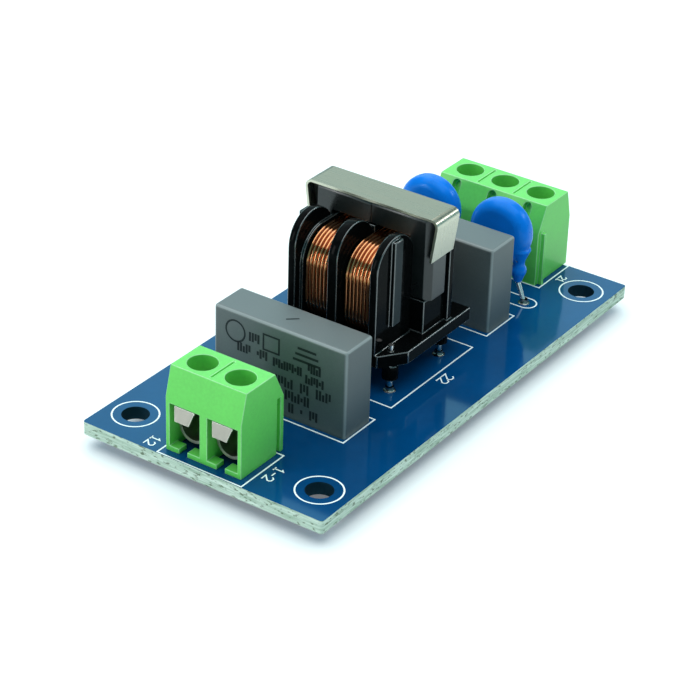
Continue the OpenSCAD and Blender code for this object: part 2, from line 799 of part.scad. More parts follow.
// Lobes outside the ferrite window, rounded where they stand beside the ferrite
module end_lobes() {
    margin = 2;
    intersection() {
        both_ends(lobe_y0, lobe_y1) lobe_pair();
        linear_extrude(lobe_h + margin) {
            translate([(flange_x0 - margin + front_lobe_x1) / 2, 0])
                rounded_square(front_lobe_x1 - flange_x0 + margin, 2 * lobe_y1, lobe_edge_r);
            translate([(back_lobe_x0 + flange_x1 + margin) / 2, 0])
                rounded_square(flange_x1 + margin - back_lobe_x0, 2 * lobe_y1, lobe_edge_r);
        }
    }
}

module base_outline() {
    half_w = base_w / 2;
    polygon([
        [base_x0, half_w - corner_cut_y],
        [base_x0 + corner_cut_x, half_w],
        [base_x1, half_w],
        [base_x1, -half_w],
        [base_x0 + corner_cut_x, -half_w],
        [base_x0, -half_w + corner_cut_y],
    ]);
}

// Places a slice drawn in X and Z between two stations along +Y and its mirror along -Y
module both_ends(y0, y1) {
    for (s = [0, 1])
        mirror([0, s, 0]) translate([0, y1, 0]) rotate([90, 0, 0]) linear_extrude(y1 - y0) children();
}

module former_tube() {
    translate([(former_x0 + former_x1) / 2, (former_z0 + former_z1) / 2])
        rounded_square(former_x1 - former_x0, former_z1 - former_z0, former_corner_r);
}

// Everything the ferrite's lower legs and backs pass through or stand on
module core_way() {
    way_w = core_depth + 2 * core_fit;
    translate([core_xc - way_w / 2, -base_w, core_lift])
        cube([way_w, 2 * base_w, core_leg + core_fit]);
}

module choke_bobbin() {
    color("black")
    on_board()
    difference() {
        union() {
            along_y(2 * end_flange_y1) former_tube();
            along_y(middle_flange_t) middle_flange_outline();
            both_ends(end_flange_y0, end_flange_y1) end_flange_outline();
            end_lobes();
            both_ends(lobe_y0, lobe_y1 + rib_proud)
                translate([flange_x0 + rib_inset, rib_foot]) square([rib_w, lobe_h - rib_foot - rib_top_drop]);
            translate([0, 0, base_lift]) linear_extrude(floor_t) base_outline();
            translate([0, 0, base_lift])
                linear_extrude(rail_t)
                    intersection() {
                        base_outline();
                        for (s = [-1, 1])
                            translate([(base_x0 + base_x1) / 2, s * (end_flange_y0 + base_w) / 2])
                                square([base_x1 - base_x0 + 2, base_w - end_flange_y0], center = true);
                    }
            both_ends(end_flange_y0, saddle_y1)
                translate([core_x0, base_lift]) square([core_depth, core_lift - base_lift]);
            both_ends(end_flange_y0, core_reach)
                translate([back_lobe_x0, base_lift]) square([post_t, post_top - base_lift]);
            for (p = choke_leads)
                translate([p[0], p[1], boss_foot]) cylinder(d = boss_d, h = base_lift + eps - boss_foot, $fn = 32);
        }
        core_way();
        translate([0, 0, -board_t]) choke_pins();
    }
}

module choke_pins() {
    color("silver")
    on_board()
        for (p = choke_leads)
            translate([p[0], p[1], lead_tip_z - board_t])
                cylinder(d = pin_d, h = rail_top + pin_proud - lead_tip_z + board_t, $fn = 32);
}

module lower_ferrite_half() { on_board() mirror([0, 1, 0]) ferrite_half(); }
module upper_ferrite_half() { on_board() ferrite_half(); }

// A winding's cut: a flat pad with one ridge for each turn, drawn outwards along X
module winding_cut() {
    square([winding_depth - wire_d / 2, coil_w]);
    for (i = [0 : turns - 1])
        translate([winding_depth - wire_d / 2, wire_d / 2 + i * turn_pitch]) circle(d = wire_d, $fn = 24);
}

module winding() {
    span_x = former_x1 - former_x0 - 2 * former_corner_r;
    span_z = former_z1 - former_z0 - 2 * former_corner_r;
    color("chocolate")
    translate([(former_x0 + former_x1) / 2, coil_y, (former_z0 + former_z1) / 2])
        rotate([-90, 0, 0]) {
            for (a = [0 : 3]) {
                half_u = (a % 2 == 0 ? span_x : span_z) / 2;
                half_v = (a % 2 == 0 ? span_z : span_x) / 2;
                rotate(90 * a) {
                    translate([half_u, half_v, 0])
                        rotate_extrude(angle = 90) translate([former_corner_r, 0]) winding_cut();
                    translate([half_u + former_corner_r, half_v, 0])
                        rotate([90, 0, 0]) linear_extrude(2 * half_v) winding_cut();
                }
            }
        }
}

module lower_winding() { on_board() mirror([0, 1, 0]) winding(); }
module upper_winding() { on_board() winding(); }

circuit_board();
solder_joints();
output_terminal_housing();
output_terminal_cages();
output_wire_guards();
output_terminal_screws();
input_terminal_housing();
input_terminal_cages();
input_wire_guards();
input_terminal_screws();
output_capacitor_case();
output_capacitor_roll();
output_capacitor_resin();
output_capacitor_leads();
input_capacitor_case();
input_capacitor_roll();
input_capacitor_resin();
input_capacitor_leads();
lower_disc_coating();
lower_disc_ceramic();
lower_disc_leads();
upper_disc_coating();
upper_disc_ceramic();
upper_disc_leads();
choke_bobbin();
choke_pins();
lower_ferrite_half();
upper_ferrite_half();
ferrite_clip();
lower_winding();
upper_winding();
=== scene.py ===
"""Finishes and small print for a mains line filter module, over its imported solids."""

import json
import math

import bmesh
import bpy
from mathutils import Matrix, Vector


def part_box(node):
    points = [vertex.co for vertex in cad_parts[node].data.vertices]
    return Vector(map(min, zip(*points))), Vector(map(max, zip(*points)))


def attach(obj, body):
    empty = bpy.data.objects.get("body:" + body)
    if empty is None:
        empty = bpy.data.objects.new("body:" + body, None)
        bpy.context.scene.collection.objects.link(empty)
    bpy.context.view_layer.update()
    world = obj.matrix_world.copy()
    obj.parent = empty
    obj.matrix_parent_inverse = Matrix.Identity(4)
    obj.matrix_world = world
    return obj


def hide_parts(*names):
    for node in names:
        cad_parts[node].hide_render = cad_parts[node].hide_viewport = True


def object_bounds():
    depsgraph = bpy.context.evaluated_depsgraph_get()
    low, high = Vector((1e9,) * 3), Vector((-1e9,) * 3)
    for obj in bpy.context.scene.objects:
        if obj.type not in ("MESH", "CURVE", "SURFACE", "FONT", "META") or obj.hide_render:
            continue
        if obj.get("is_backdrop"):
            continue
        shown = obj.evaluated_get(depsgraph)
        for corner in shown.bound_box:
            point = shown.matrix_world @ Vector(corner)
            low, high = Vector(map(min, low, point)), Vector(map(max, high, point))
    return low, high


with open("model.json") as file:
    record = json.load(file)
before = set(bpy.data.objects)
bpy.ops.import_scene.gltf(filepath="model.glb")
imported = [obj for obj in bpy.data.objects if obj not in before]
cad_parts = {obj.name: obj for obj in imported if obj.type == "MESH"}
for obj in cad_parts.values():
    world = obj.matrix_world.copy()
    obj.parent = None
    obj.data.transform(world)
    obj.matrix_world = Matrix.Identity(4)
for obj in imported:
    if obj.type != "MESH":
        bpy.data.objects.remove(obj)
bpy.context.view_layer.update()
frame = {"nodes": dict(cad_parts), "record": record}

bl_info = {
    "name": "Line filter module",
    "version": (1, 0, 0),
    "blender": (4, 5, 0),
    "location": "3D View > Sidebar > Line filter",
    "description": "Finishes, board print and solder for a mains line filter module",
    "category": "Object",
}

MM = 0.001
BOARD_HIGH = Vector(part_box("circuit_board")[1])
BOARD_TOP = BOARD_HIGH.z
SLOT_OF = {part["node"]: part["material_slot"] for part in frame["record"]["subparts"]}


# ---------------------------------------------------------------- properties


class PrintSizes(bpy.types.PropertyGroup):
    """Sizes of the white print on the board."""

    line: bpy.props.FloatProperty(
        name="Line width", description="Width of a printed line",
        default=0.19 * MM, min=0.05 * MM, max=0.5 * MM, unit="LENGTH",
    )
    lift: bpy.props.FloatProperty(
        name="Ink height", description="Height of the ink above the solder mask",
        default=0.02 * MM, min=0.005 * MM, max=0.05 * MM, unit="LENGTH",
    )
    number: bpy.props.FloatProperty(
        name="Number height", description="Height of a printed number",
        default=1.14 * MM, min=0.8 * MM, max=2.5 * MM, unit="LENGTH",
    )
    glyph: bpy.props.FloatProperty(
        name="Mark height", description="Height of a mark printed on a capacitor",
        default=0.95 * MM, min=0.5 * MM, max=1.5 * MM, unit="LENGTH",
    )
    hole_ring: bpy.props.FloatProperty(
        name="Hole ring", description="Diameter of the ring printed round a mounting hole",
        default=5.3 * MM, min=4 * MM, max=7 * MM, unit="LENGTH",
    )


class SolderSizes(bpy.types.PropertyGroup):
    """Sizes of the solder seen above and below the board."""

    fillet: bpy.props.FloatProperty(
        name="Fillet height", description="Height of the solder that has wicked up a lead",
        default=0.5 * MM, min=0.1 * MM, max=1.2 * MM, unit="LENGTH",
    )
    foot: bpy.props.FloatProperty(
        name="Fillet foot", description="How far a fillet spreads from its lead",
        default=0.2 * MM, min=0.1 * MM, max=0.8 * MM, unit="LENGTH",
    )
    pad: bpy.props.FloatProperty(
        name="Pad ring", description="Width of the tinned ring round a lead",
        default=0.12 * MM, min=0.05 * MM, max=1 * MM, unit="LENGTH",
    )


class Finishes(bpy.types.PropertyGroup):
    """Main colours of the module."""

    mask: bpy.props.FloatVectorProperty(
        name="Solder mask", description="Colour of the mask over bare laminate",
        default=(0.0005, 0.052, 0.165), min=0, max=1, size=3, subtype="COLOR",
    )
    plastic: bpy.props.FloatVectorProperty(
        name="Terminal plastic", description="Colour of the terminal housings",
        default=(0.14, 0.64, 0.095), min=0, max=1, size=3, subtype="COLOR",
    )
    case: bpy.props.FloatVectorProperty(
        name="Capacitor case", description="Colour of the box capacitors' cases",
        default=(0.085, 0.10, 0.10), min=0, max=1, size=3, subtype="COLOR",
    )
    coating: bpy.props.FloatVectorProperty(
        name="Disc coating", description="Colour of the disc capacitors' coating",
        default=(0.002, 0.175, 0.72), min=0, max=1, size=3, subtype="COLOR",
    )
    enamel: bpy.props.FloatVectorProperty(
        name="Wire enamel", description="Colour of the enamelled copper wire",
        default=(0.56, 0.21, 0.07), min=0, max=1, size=3, subtype="COLOR",
    )


# ------------------------------------------------------------ shader wiring


class Wiring:
    """Adds and joins the nodes of one material or group."""

    def __init__(self, tree):
        self.tree = tree

    def node(self, kind, inputs=None, **settings):
        made = self.tree.nodes.new(kind)
        for key, value in settings.items():
            setattr(made, key, value)
        for key, value in (inputs or {}).items():
            self.feed(made.inputs[key], value)
        return made

    def feed(self, socket, value):
        if isinstance(value, bpy.types.NodeSocket):
            self.tree.links.new(value, socket)
        else:
            socket.default_value = value

    def math(self, operation, first, second=0.0, clamp=False):
        made = self.node("ShaderNodeMath", {0: first, 1: second}, operation=operation, use_clamp=clamp)
        return made.outputs[0]

    def mix(self, amount, first, second, blend="MIX"):
        made = self.node("ShaderNodeMix", data_type="RGBA", blend_type=blend)
        self.feed(made.inputs[0], amount)
        self.feed(made.inputs[6], first)
        self.feed(made.inputs[7], second)
        return made.outputs[2]

    def spread(self, value, levels, low=0.0, high=1.0):
        """Stretches the value so that its two levels come out as low and high."""
        made = self.node("ShaderNodeMapRange", {0: value, 1: levels[0], 2: levels[1], 3: low, 4: high})
        return made.outputs[0]

    def up(self):
        """The upright share of the surface's direction: 1 on a top face, -1 on an underside."""
        normal = self.node("ShaderNodeNewGeometry").outputs["Normal"]
        return self.node("ShaderNodeSeparateXYZ", {0: normal}).outputs[2]

    def group(self, tree, **values):
        made = self.node("ShaderNodeGroup")
        made.node_tree = tree
        for key, value in values.items():
            self.feed(made.inputs[key], value)
        return made


def tint(colour, factor=1.0):
    return (colour[0] * factor, colour[1] * factor, colour[2] * factor, 1.0)


def mixed(colour, white):
    """The colour with a share of white in it."""
    return tuple(c + (1 - c) * white for c in colour[:3])


def new_group(name, inputs, outputs):
    """A shader node group with its sockets for numbers, the wiring for it and its two ends."""
    tree = bpy.data.node_groups.new(name, "ShaderNodeTree")
    for socket, default in inputs.items():
        made = tree.interface.new_socket(name=socket, in_out="INPUT", socket_type="NodeSocketFloat")
        made.default_value = default
    for socket in outputs:
        tree.interface.new_socket(name=socket, in_out="OUTPUT", socket_type="NodeSocketFloat")
    wires = Wiring(tree)
    return tree, wires, wires.node("NodeGroupInput").outputs, wires.node("NodeGroupOutput").inputs


# Levels that nearly all of a noise lies between, and closer ones for more contrast
NOISE_LEVELS = (0.3, 0.7)
SHADE_LEVELS = (0.35, 0.65)


def grain_group():
    """Fine moulded or poured texture: a tone from 0 to 1 and a height for bump."""
    tree, wires, given, made = new_group(
        "Moulded grain", {"Scale": 4000.0, "Blotch scale": 300.0, "Blotch share": 0.4}, ("Tone", "Height"),
    )
    place = wires.node("ShaderNodeTexCoord").outputs["Object"]
    fine = wires.node("ShaderNodeTexNoise", {"Vector": place, "Scale": given["Scale"], "Detail": 3.0})
    broad = wires.node("ShaderNodeTexNoise", {"Vector": place, "Scale": given["Blotch scale"], "Detail": 2.0})
    tone = wires.node("ShaderNodeMix", {0: given["Blotch share"], 2: fine.outputs[0], 3: broad.outputs[0]})
    wires.feed(made["Tone"], tone.outputs[0])
    wires.feed(made["Height"], fine.outputs[0])
    return tree


def drawn_group():
    """Marks left by rolling or drawing, finer the larger the scale along an axis."""
    tree, wires, given, made = new_group(
        "Drawn marks", {"Along X": 60.0, "Along Y": 4000.0, "Along Z": 4000.0}, ("Streak", "Height"),
    )
    place = wires.node("ShaderNodeTexCoord").outputs["Object"]
    stretch = wires.node(
        "ShaderNodeCombineXYZ", {0: given["Along X"], 1: given["Along Y"], 2: given["Along Z"]}
    )
    scaled = wires.node("ShaderNodeVectorMath", {0: place, 1: stretch.outputs[0]}, operation="MULTIPLY")
    streak = wires.node("ShaderNodeTexNoise", {"Vector": scaled.outputs[0], "Scale": 1.0, "Detail": 4.0})
    wires.feed(made["Streak"], wires.spread(streak.outputs[0], NOISE_LEVELS))
    wires.feed(made["Height"], streak.outputs[0])
    return tree


def speck_group():
    """Sparse small marks: a mask that is 1 on a speck and 0 elsewhere."""
    tree, wires, given, made = new_group("Specks", {"Scale": 2500.0, "Amount": 0.1}, ("Mask",))
    rarest, fall, steepness = 0.72, 0.4, 14.0
    place = wires.node("ShaderNodeTexCoord").outputs["Object"]
    noise = wires.node("ShaderNodeTexNoise", {"Vector": place, "Scale": given["Scale"], "Detail": 1.0})
    level = wires.math("SUBTRACT", rarest, wires.math("MULTIPLY", given["Amount"], fall))
    above = wires.math("SUBTRACT", noise.outputs[0], level)
    wires.feed(made["Mask"], wires.math("MULTIPLY", above, steepness, clamp=True))
    return tree


def corner_group():
    """Rounded corners of a boxy piece: 1 where the surface turns away from the main directions."""
    tree, wires, given, made = new_group("Rounded corners", {"Flat": 0.985, "Round": 0.86}, ("Mask",))
    normal = wires.node("ShaderNodeNewGeometry").outputs["Normal"]
    turned = wires.node("ShaderNodeVectorMath", {0: normal}, operation="ABSOLUTE")
    part = wires.node("ShaderNodeSeparateXYZ", {0: turned.outputs[0]}).outputs
    most = wires.math("MAXIMUM", wires.math("MAXIMUM", part[0], part[1]), part[2])
    wires.feed(made["Mask"], wires.spread(most, (given["Flat"], given["Round"])))
    return tree


# ---------------------------------------------------------------- materials


def new_material(name, colour):
    """A material with its Principled shader, the wiring for it and the shader's inputs."""
    made = bpy.data.materials.new(name)
    made.use_nodes = True
    made.diffuse_color = tint(colour)
    made.node_tree.nodes.clear()
    wires = Wiring(made.node_tree)
    shader = wires.node("ShaderNodeBsdfPrincipled")
    output = wires.node("ShaderNodeOutputMaterial")
    wires.feed(output.inputs["Surface"], shader.outputs[0])
    return made, wires, shader.inputs


def bump(wires, height, strength, distance):
    return wires.node(
        "ShaderNodeBump", {"Height": height, "Strength": strength, "Distance": distance}
    ).outputs[0]


def shades(wires, tone, colour, darker, lighter):
    """The colour as it drifts from a darker to a lighter shade of it with the grain's tone."""
    return wires.mix(wires.spread(tone, SHADE_LEVELS), tint(colour, darker), tint(colour, lighter))


# Colour mixed onto rounded corners as a painted highlight
PAINTED_CORNER_HIGHLIGHT = (0.8, 0.85, 0.85, 1.0)


def plastic(name, colour, groups, *, rough, grain, relief, coat=0.0, contrast=0.12, corner_highlight=0.0, gloss=0.5,
            sheen=(1.0, 1.0, 1.0), ior=1.5):
    """Moulded plastic: fine spark-eroded grain, a slow drift of tone and, if asked, a painted highlight on
    rounded corners.
    """
    made, wires, shader = new_material(name, colour)
    smoother, rougher = 0.05, 0.06
    marks = wires.group(groups["grain"], Scale=grain).outputs
    shade = shades(wires, marks["Tone"], colour, 1 - contrast, 1 + contrast)
    if corner_highlight:
        # Rounded corners lightened towards a pale colour: a painted highlight
        corners = wires.group(groups["corners"]).outputs["Mask"]
        shade = wires.mix(wires.math("MULTIPLY", corners, corner_highlight), shade, PAINTED_CORNER_HIGHLIGHT)
    wires.feed(shader["Base Color"], shade)
    wires.feed(
        shader["Roughness"], wires.spread(marks["Tone"], NOISE_LEVELS, rough - smoother, rough + rougher)
    )
    wires.feed(shader["Normal"], bump(wires, marks["Height"], strength=0.35, distance=relief))
    shader["Specular IOR Level"].default_value = gloss
    shader["Specular Tint"].default_value = tint(sheen)
    shader["IOR"].default_value = ior
    shader["Coat Weight"].default_value = coat
    shader["Coat Roughness"].default_value = 0.12
    return made


def drawn(wires, groups, along):
    """The drawn marks, with how fine they are along X, Y and Z."""
    fineness = {f"Along {axis}": scale for axis, scale in zip("XYZ", along)}
    return wires.group(groups["drawn"], **fineness).outputs


def metal(name, colour, groups, *, rough, along=(60.0, 4000.0, 4000.0), contrast=0.1, relief=0.004 * MM,
          top_shade=None):
    """Rolled or plated metal: fine drawn marks, a few dull specks and, if given, a painted shade on its upper
    faces.
    """
    made, wires, shader = new_material(name, colour)
    marks = drawn(wires, groups, along)
    specks = wires.group(groups["specks"], Scale=1800.0, Amount=0.1).outputs["Mask"]
    smoother, rougher = 0.06, 0.08
    speck_share, speck_shade = 0.15, 0.6
    top_shade_levels = (0.6, 0.95)
    shade = wires.mix(marks["Streak"], tint(colour, 1 - contrast), tint(colour, 1 + contrast / 2))
    shade = wires.mix(wires.math("MULTIPLY", specks, speck_share), shade, tint(colour, speck_shade))
    # Upper faces multiplied by a darker colour: painted shade
    if top_shade:
        shade = wires.mix(wires.spread(wires.up(), top_shade_levels), shade, tint(top_shade), "MULTIPLY")
    wires.feed(shader["Base Color"], shade)
    wires.feed(
        shader["Roughness"], wires.spread(marks["Streak"], (0.0, 1.0), rough - smoother, rough + rougher)
    )
    wires.feed(shader["Normal"], bump(wires, marks["Height"], strength=0.4, distance=relief))
    shader["Metallic"].default_value = 1.0
    return made


def cut_edge(wires):
    """1 on the board's outer edges and near them, 0 further in."""
    rim = 0.7 * MM
    position = wires.node("ShaderNodeTexCoord").outputs["Object"]
    place = wires.node("ShaderNodeSeparateXYZ", {0: position}).outputs
    past_end = wires.math("GREATER_THAN", wires.math("ABSOLUTE", place[0]), BOARD_HIGH.x - rim)
    past_side = wires.math("GREATER_THAN", wires.math("ABSOLUTE", place[1]), BOARD_HIGH.y - rim)
    return wires.math("MAXIMUM", past_end, past_side)


def board_material(colour, groups):
    """Blue mask on both faces, pale cut fibre with layers and chips on the edges, hole walls in painted
    shade.
    """
    made, wires, shader = new_material("Board", colour)
    dark_fibre, pale_fibre = (0.36, 0.46, 0.34, 1.0), (0.76, 0.83, 0.72, 1.0)
    # Near-black colour for the hole walls: painted shade
    chip, hole_wall_shade = (0.10, 0.12, 0.05, 1.0), (0.006, 0.02, 0.035, 1.0)
    chip_level, chip_steepness, chip_share = 0.575, 12.0, 0.8
    edge_rough, face_rough, face_level = 0.7, 0.09, 0.6
    face = wires.math("GREATER_THAN", wires.math("ABSOLUTE", wires.up()), face_level)
    mask = wires.group(groups["grain"], Scale=900.0, **{"Blotch scale": 60.0, "Blotch share": 0.85}).outputs
    blue = shades(wires, mask["Tone"], colour, 0.85, 1.2)
    layers = drawn(wires, groups, (260.0, 260.0, 3600.0))
    fibre = wires.mix(layers["Streak"], dark_fibre, pale_fibre)
    chips = drawn(wires, groups, (1500.0, 1500.0, 3600.0))["Height"]
    chipped = wires.math("MULTIPLY", wires.math("SUBTRACT", chips, chip_level), chip_steepness, clamp=True)
    fibre = wires.mix(wires.math("MULTIPLY", chipped, chip_share), fibre, chip)
    wall = wires.mix(cut_edge(wires), hole_wall_shade, fibre)
    wires.feed(shader["Base Color"], wires.mix(face, wall, blue))
    wires.feed(shader["Roughness"], wires.spread(face, (0.0, 1.0), edge_rough, face_rough))
    relief = wires.mix(face, layers["Height"], mask["Height"])
    wires.feed(shader["Normal"], bump(wires, relief, strength=0.1, distance=0.02 * MM))
    shader["Specular IOR Level"].default_value = 0.35
    shader["Specular Tint"].default_value = (0.12, 0.8, 1.0, 1.0)
    return made


def copper_material(colour, groups):
    """Enamelled copper: bright, slightly uneven along each turn."""
    made, wires, shader = new_material("Enamelled copper", colour)
    skin = wires.group(groups["grain"], Scale=1500.0, **{"Blotch scale": 350.0, "Blotch share": 0.6}).outputs
    wires.feed(shader["Base Color"], shades(wires, skin["Tone"], colour, 0.85, 1.15))
    wires.feed(shader["Roughness"], wires.spread(skin["Tone"], NOISE_LEVELS, 0.14, 0.2))
    wires.feed(shader["Normal"], bump(wires, skin["Height"], strength=0.1, distance=0.004 * MM))
    shader["Metallic"].default_value = 1.0
    shader["Coat Weight"].default_value = 1.0
    shader["Coat Roughness"].default_value = 0.08
    return made


def make_materials():
    """Every finish of the module by the record's slot name, and the few that only the scene uses."""
    looks = bpy.context.scene.filter_finishes
    groups = {
        "grain": grain_group(), "drawn": drawn_group(), "specks": speck_group(), "corners": corner_group(),
    }
    made = {
        "board_blue": board_material(looks.mask, groups),
        "solder": metal("Solder", (0.28, 0.29, 0.27), groups, rough=0.22, along=(900.0, 900.0, 900.0)),
        "terminal_green": plastic(
            "Terminal plastic", looks.plastic, groups,
            rough=0.36, grain=3000.0, relief=0.004 * MM, coat=0.1, contrast=0.05, gloss=0.4,
        ),
        # Paler green on the eased edges: a painted highlight
        "terminal_edge": plastic(
            "Terminal edges", mixed(looks.plastic, 0.17), groups,
            rough=0.3, grain=3000.0, relief=0.004 * MM, coat=0.2, contrast=0.04,
        ),
        "plated_steel": metal(
            "Plated steel", (0.33, 0.31, 0.27), groups,
            rough=0.42, along=(500.0, 3200.0, 500.0), contrast=0.06, relief=0.001 * MM,
        ),
        # The case's rounded corners carry a painted highlight
        "case_grey": plastic(
            "Capacitor box", looks.case, groups,
            rough=0.44, grain=5000.0, relief=0.012 * MM, contrast=0.1, corner_highlight=0.2, gloss=0.8,
        ),
        "film_metal": metal("Metallised film", (0.7, 0.71, 0.72), groups, rough=0.35),
        "resin_grey": plastic(
            "Poured resin", (0.05, 0.05, 0.055), groups, rough=0.5, grain=1500.0, relief=0.03 * MM,
        ),
        "tinned_copper": metal(
            "Tinned wire", (0.80, 0.79, 0.77), groups, rough=0.2, along=(3000.0, 3000.0, 200.0),
        ),
        "coating_blue": plastic(
            "Disc coating", looks.coating, groups,
            rough=0.3, grain=700.0, relief=0.02 * MM, coat=0.12, contrast=0.06, gloss=0.35,
            sheen=(0.1, 0.55, 1.0),
        ),
        "ceramic_tan": plastic(
            "Ceramic", (0.5, 0.4, 0.28), groups, rough=0.6, grain=3000.0, relief=0.01 * MM,
        ),
        "bobbin_black": plastic(
            "Bobbin plastic", (0.0025, 0.003, 0.0032), groups,
            rough=0.12, grain=2500.0, relief=0.006 * MM, contrast=0.3, ior=1.08,
        ),
        # Rougher plastic for the ribs, its lighter colour a painted sheen
        "bobbin_rib_sheen": plastic(
            "Bobbin ribs", (0.022, 0.03, 0.033), groups,
            rough=0.4, grain=2500.0, relief=0.006 * MM, contrast=0.2, ior=1.2,
        ),
        # Lighter grey on the bobbin's eased edges: a painted highlight
        "bobbin_edge": plastic(
            "Bobbin edges", (0.034, 0.04, 0.04), groups,
            rough=0.16, grain=2500.0, relief=0.004 * MM, coat=1.0, contrast=0.3, gloss=1.0,
        ),
        "ferrite": plastic(
            "Ferrite", (0.007, 0.009, 0.009), groups,
            rough=0.3, grain=6000.0, relief=0.012 * MM, contrast=0.25, gloss=0.65,
        ),
        # The clip's upper faces are darkened by a painted shade
        "clip_steel": metal(
            "Spring clip", (0.62, 0.60, 0.48), groups,
            rough=0.3, along=(5000.0, 120.0, 120.0), contrast=0.05, relief=0.0006 * MM,
            top_shade=(0.44, 0.39, 0.37),
        ),
        # Paler metal on the eased edges of clip, guards and cages: a painted highlight
        "clip_edge": metal(
            "Sheared edge", (0.85, 0.84, 0.74), groups, rough=0.3, along=(300.0, 60.0, 60.0),
        ),
        "enamelled_copper": copper_material(looks.enamel, groups),
        "white_print": plastic(
            "White print", (0.92, 0.97, 0.98), groups,
            rough=0.5, grain=5000.0, relief=0.01 * MM, contrast=0.04,
        ),
        "case_print": plastic(
            "Capacitor ink", (0.010, 0.013, 0.015), groups,
            rough=0.5, grain=5000.0, relief=0.005 * MM, contrast=0.2, gloss=0.3,
        ),
    }
    for slot, material in made.items():
        material["part_slot"] = slot


def finish(slot):
    """The material made for a slot."""
    for material in bpy.data.materials:
        if material.get("part_slot") == slot:
            return material
    raise RuntimeError(f"the finishes have to be made before {slot} is used")


# ------------------------------------------------------------------- meshes


def add_piece(name, mesh, slot, smooth=False):
    """Puts a mesh in the scene as a piece that rides with the module."""
    mesh.validate()
    if smooth:
        mesh.shade_smooth()
    piece = bpy.data.objects.new(name, mesh)
    piece.data.materials.append(finish(slot))
    bpy.context.scene.collection.objects.link(piece)
    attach(piece, "root")
    return piece


class Sheet:
    """Gathers flat faces, printed lines and turned surfaces into one mesh."""

    # Lowest cosine that a mitred corner is worked out with, so that a sharp one stays short
    MITRE = 0.35

    def __init__(self):
        self.bm = bmesh.new()

    def face(self, corners):
        self.bm.faces.new([self.bm.verts.new(c) for c in corners])

    def strip(self, points, width, to_world, closed=False):
        """A line of even width with mitred corners through points, drawn in a plane."""
        count = len(points)
        flat = [Vector(p) for p in points]
        sides = []
        for i, here in enumerate(flat):
            runs = []
            if closed or i > 0:
                runs.append((here - flat[i - 1]).normalized())
            if closed or i < count - 1:
                runs.append((flat[(i + 1) % count] - here).normalized())
            across = [Vector((-run.y, run.x)) for run in runs]
            lean = sum(across, Vector((0, 0))).normalized()
            reach = width / 2 / max(self.MITRE, lean.dot(across[0]))
            ends = Vector((0, 0))
            if not closed and i in (0, count - 1):
                ends = runs[0] * (width / 2 if i else -width / 2)
            sides.append((here + lean * reach + ends, here - lean * reach + ends))
        for i in range(count if closed else count - 1):
            (a, b), (c, d) = sides[i], sides[(i + 1) % count]
            self.face([to_world(p) for p in (a, b, d, c)])

    def lathe(self, centre, profile, steps=28):
        """A surface turned about an upright axis; profile is (radius, height) from the outside in."""
        turns = [math.tau * k / steps for k in range(steps)]
        rings = [
            [
                self.bm.verts.new(
                    (centre[0] + radius * math.cos(t), centre[1] + radius * math.sin(t), height)
                )
                for t in turns
            ]
            for radius, height in profile
        ]
        for low, high in zip(rings, rings[1:]):
            for k in range(steps):
                self.bm.faces.new([low[k], low[(k + 1) % steps], high[(k + 1) % steps], high[k]])

    def mesh(self, name):
        made = bpy.data.meshes.new(name)
        bmesh.ops.recalc_face_normals(self.bm, faces=self.bm.faces)
        self.bm.to_mesh(made)
        self.bm.free()
        return made


def arc(centre, radius, first, turn, steps):
    """Points on an arc from the first angle through a turn, with the end left out on a whole circle."""
    whole = math.isclose(turn, math.tau)
    return [
        (centre[0] + radius * math.cos(first + turn * k / steps),
         centre[1] + radius * math.sin(first + turn * k / steps))
        for k in range(steps if whole else steps + 1)
    ]


def on_board(lift):
    """Turns millimetres along the board into a point on its top face."""
    return lambda p: Vector((p[0] * MM, p[1] * MM, BOARD_TOP + lift))


# Strokes of the printed numbers in a cell one unit high, and from one number's start to the next
STROKES = {
    "1": [[(0.1, 0.8), (0.3, 1), (0.3, 0)], [(0.1, 0), (0.5, 0)]],
    "2": [[(0, 0.82), (0.15, 1), (0.5, 1), (0.65, 0.82), (0.65, 0.62), (0, 0), (0.65, 0)]],
    "-": [[(0.1, 0.5), (0.55, 0.5)]],
}
DIGIT_STEP = 0.84


# ---------------------------------------------------------------- operators


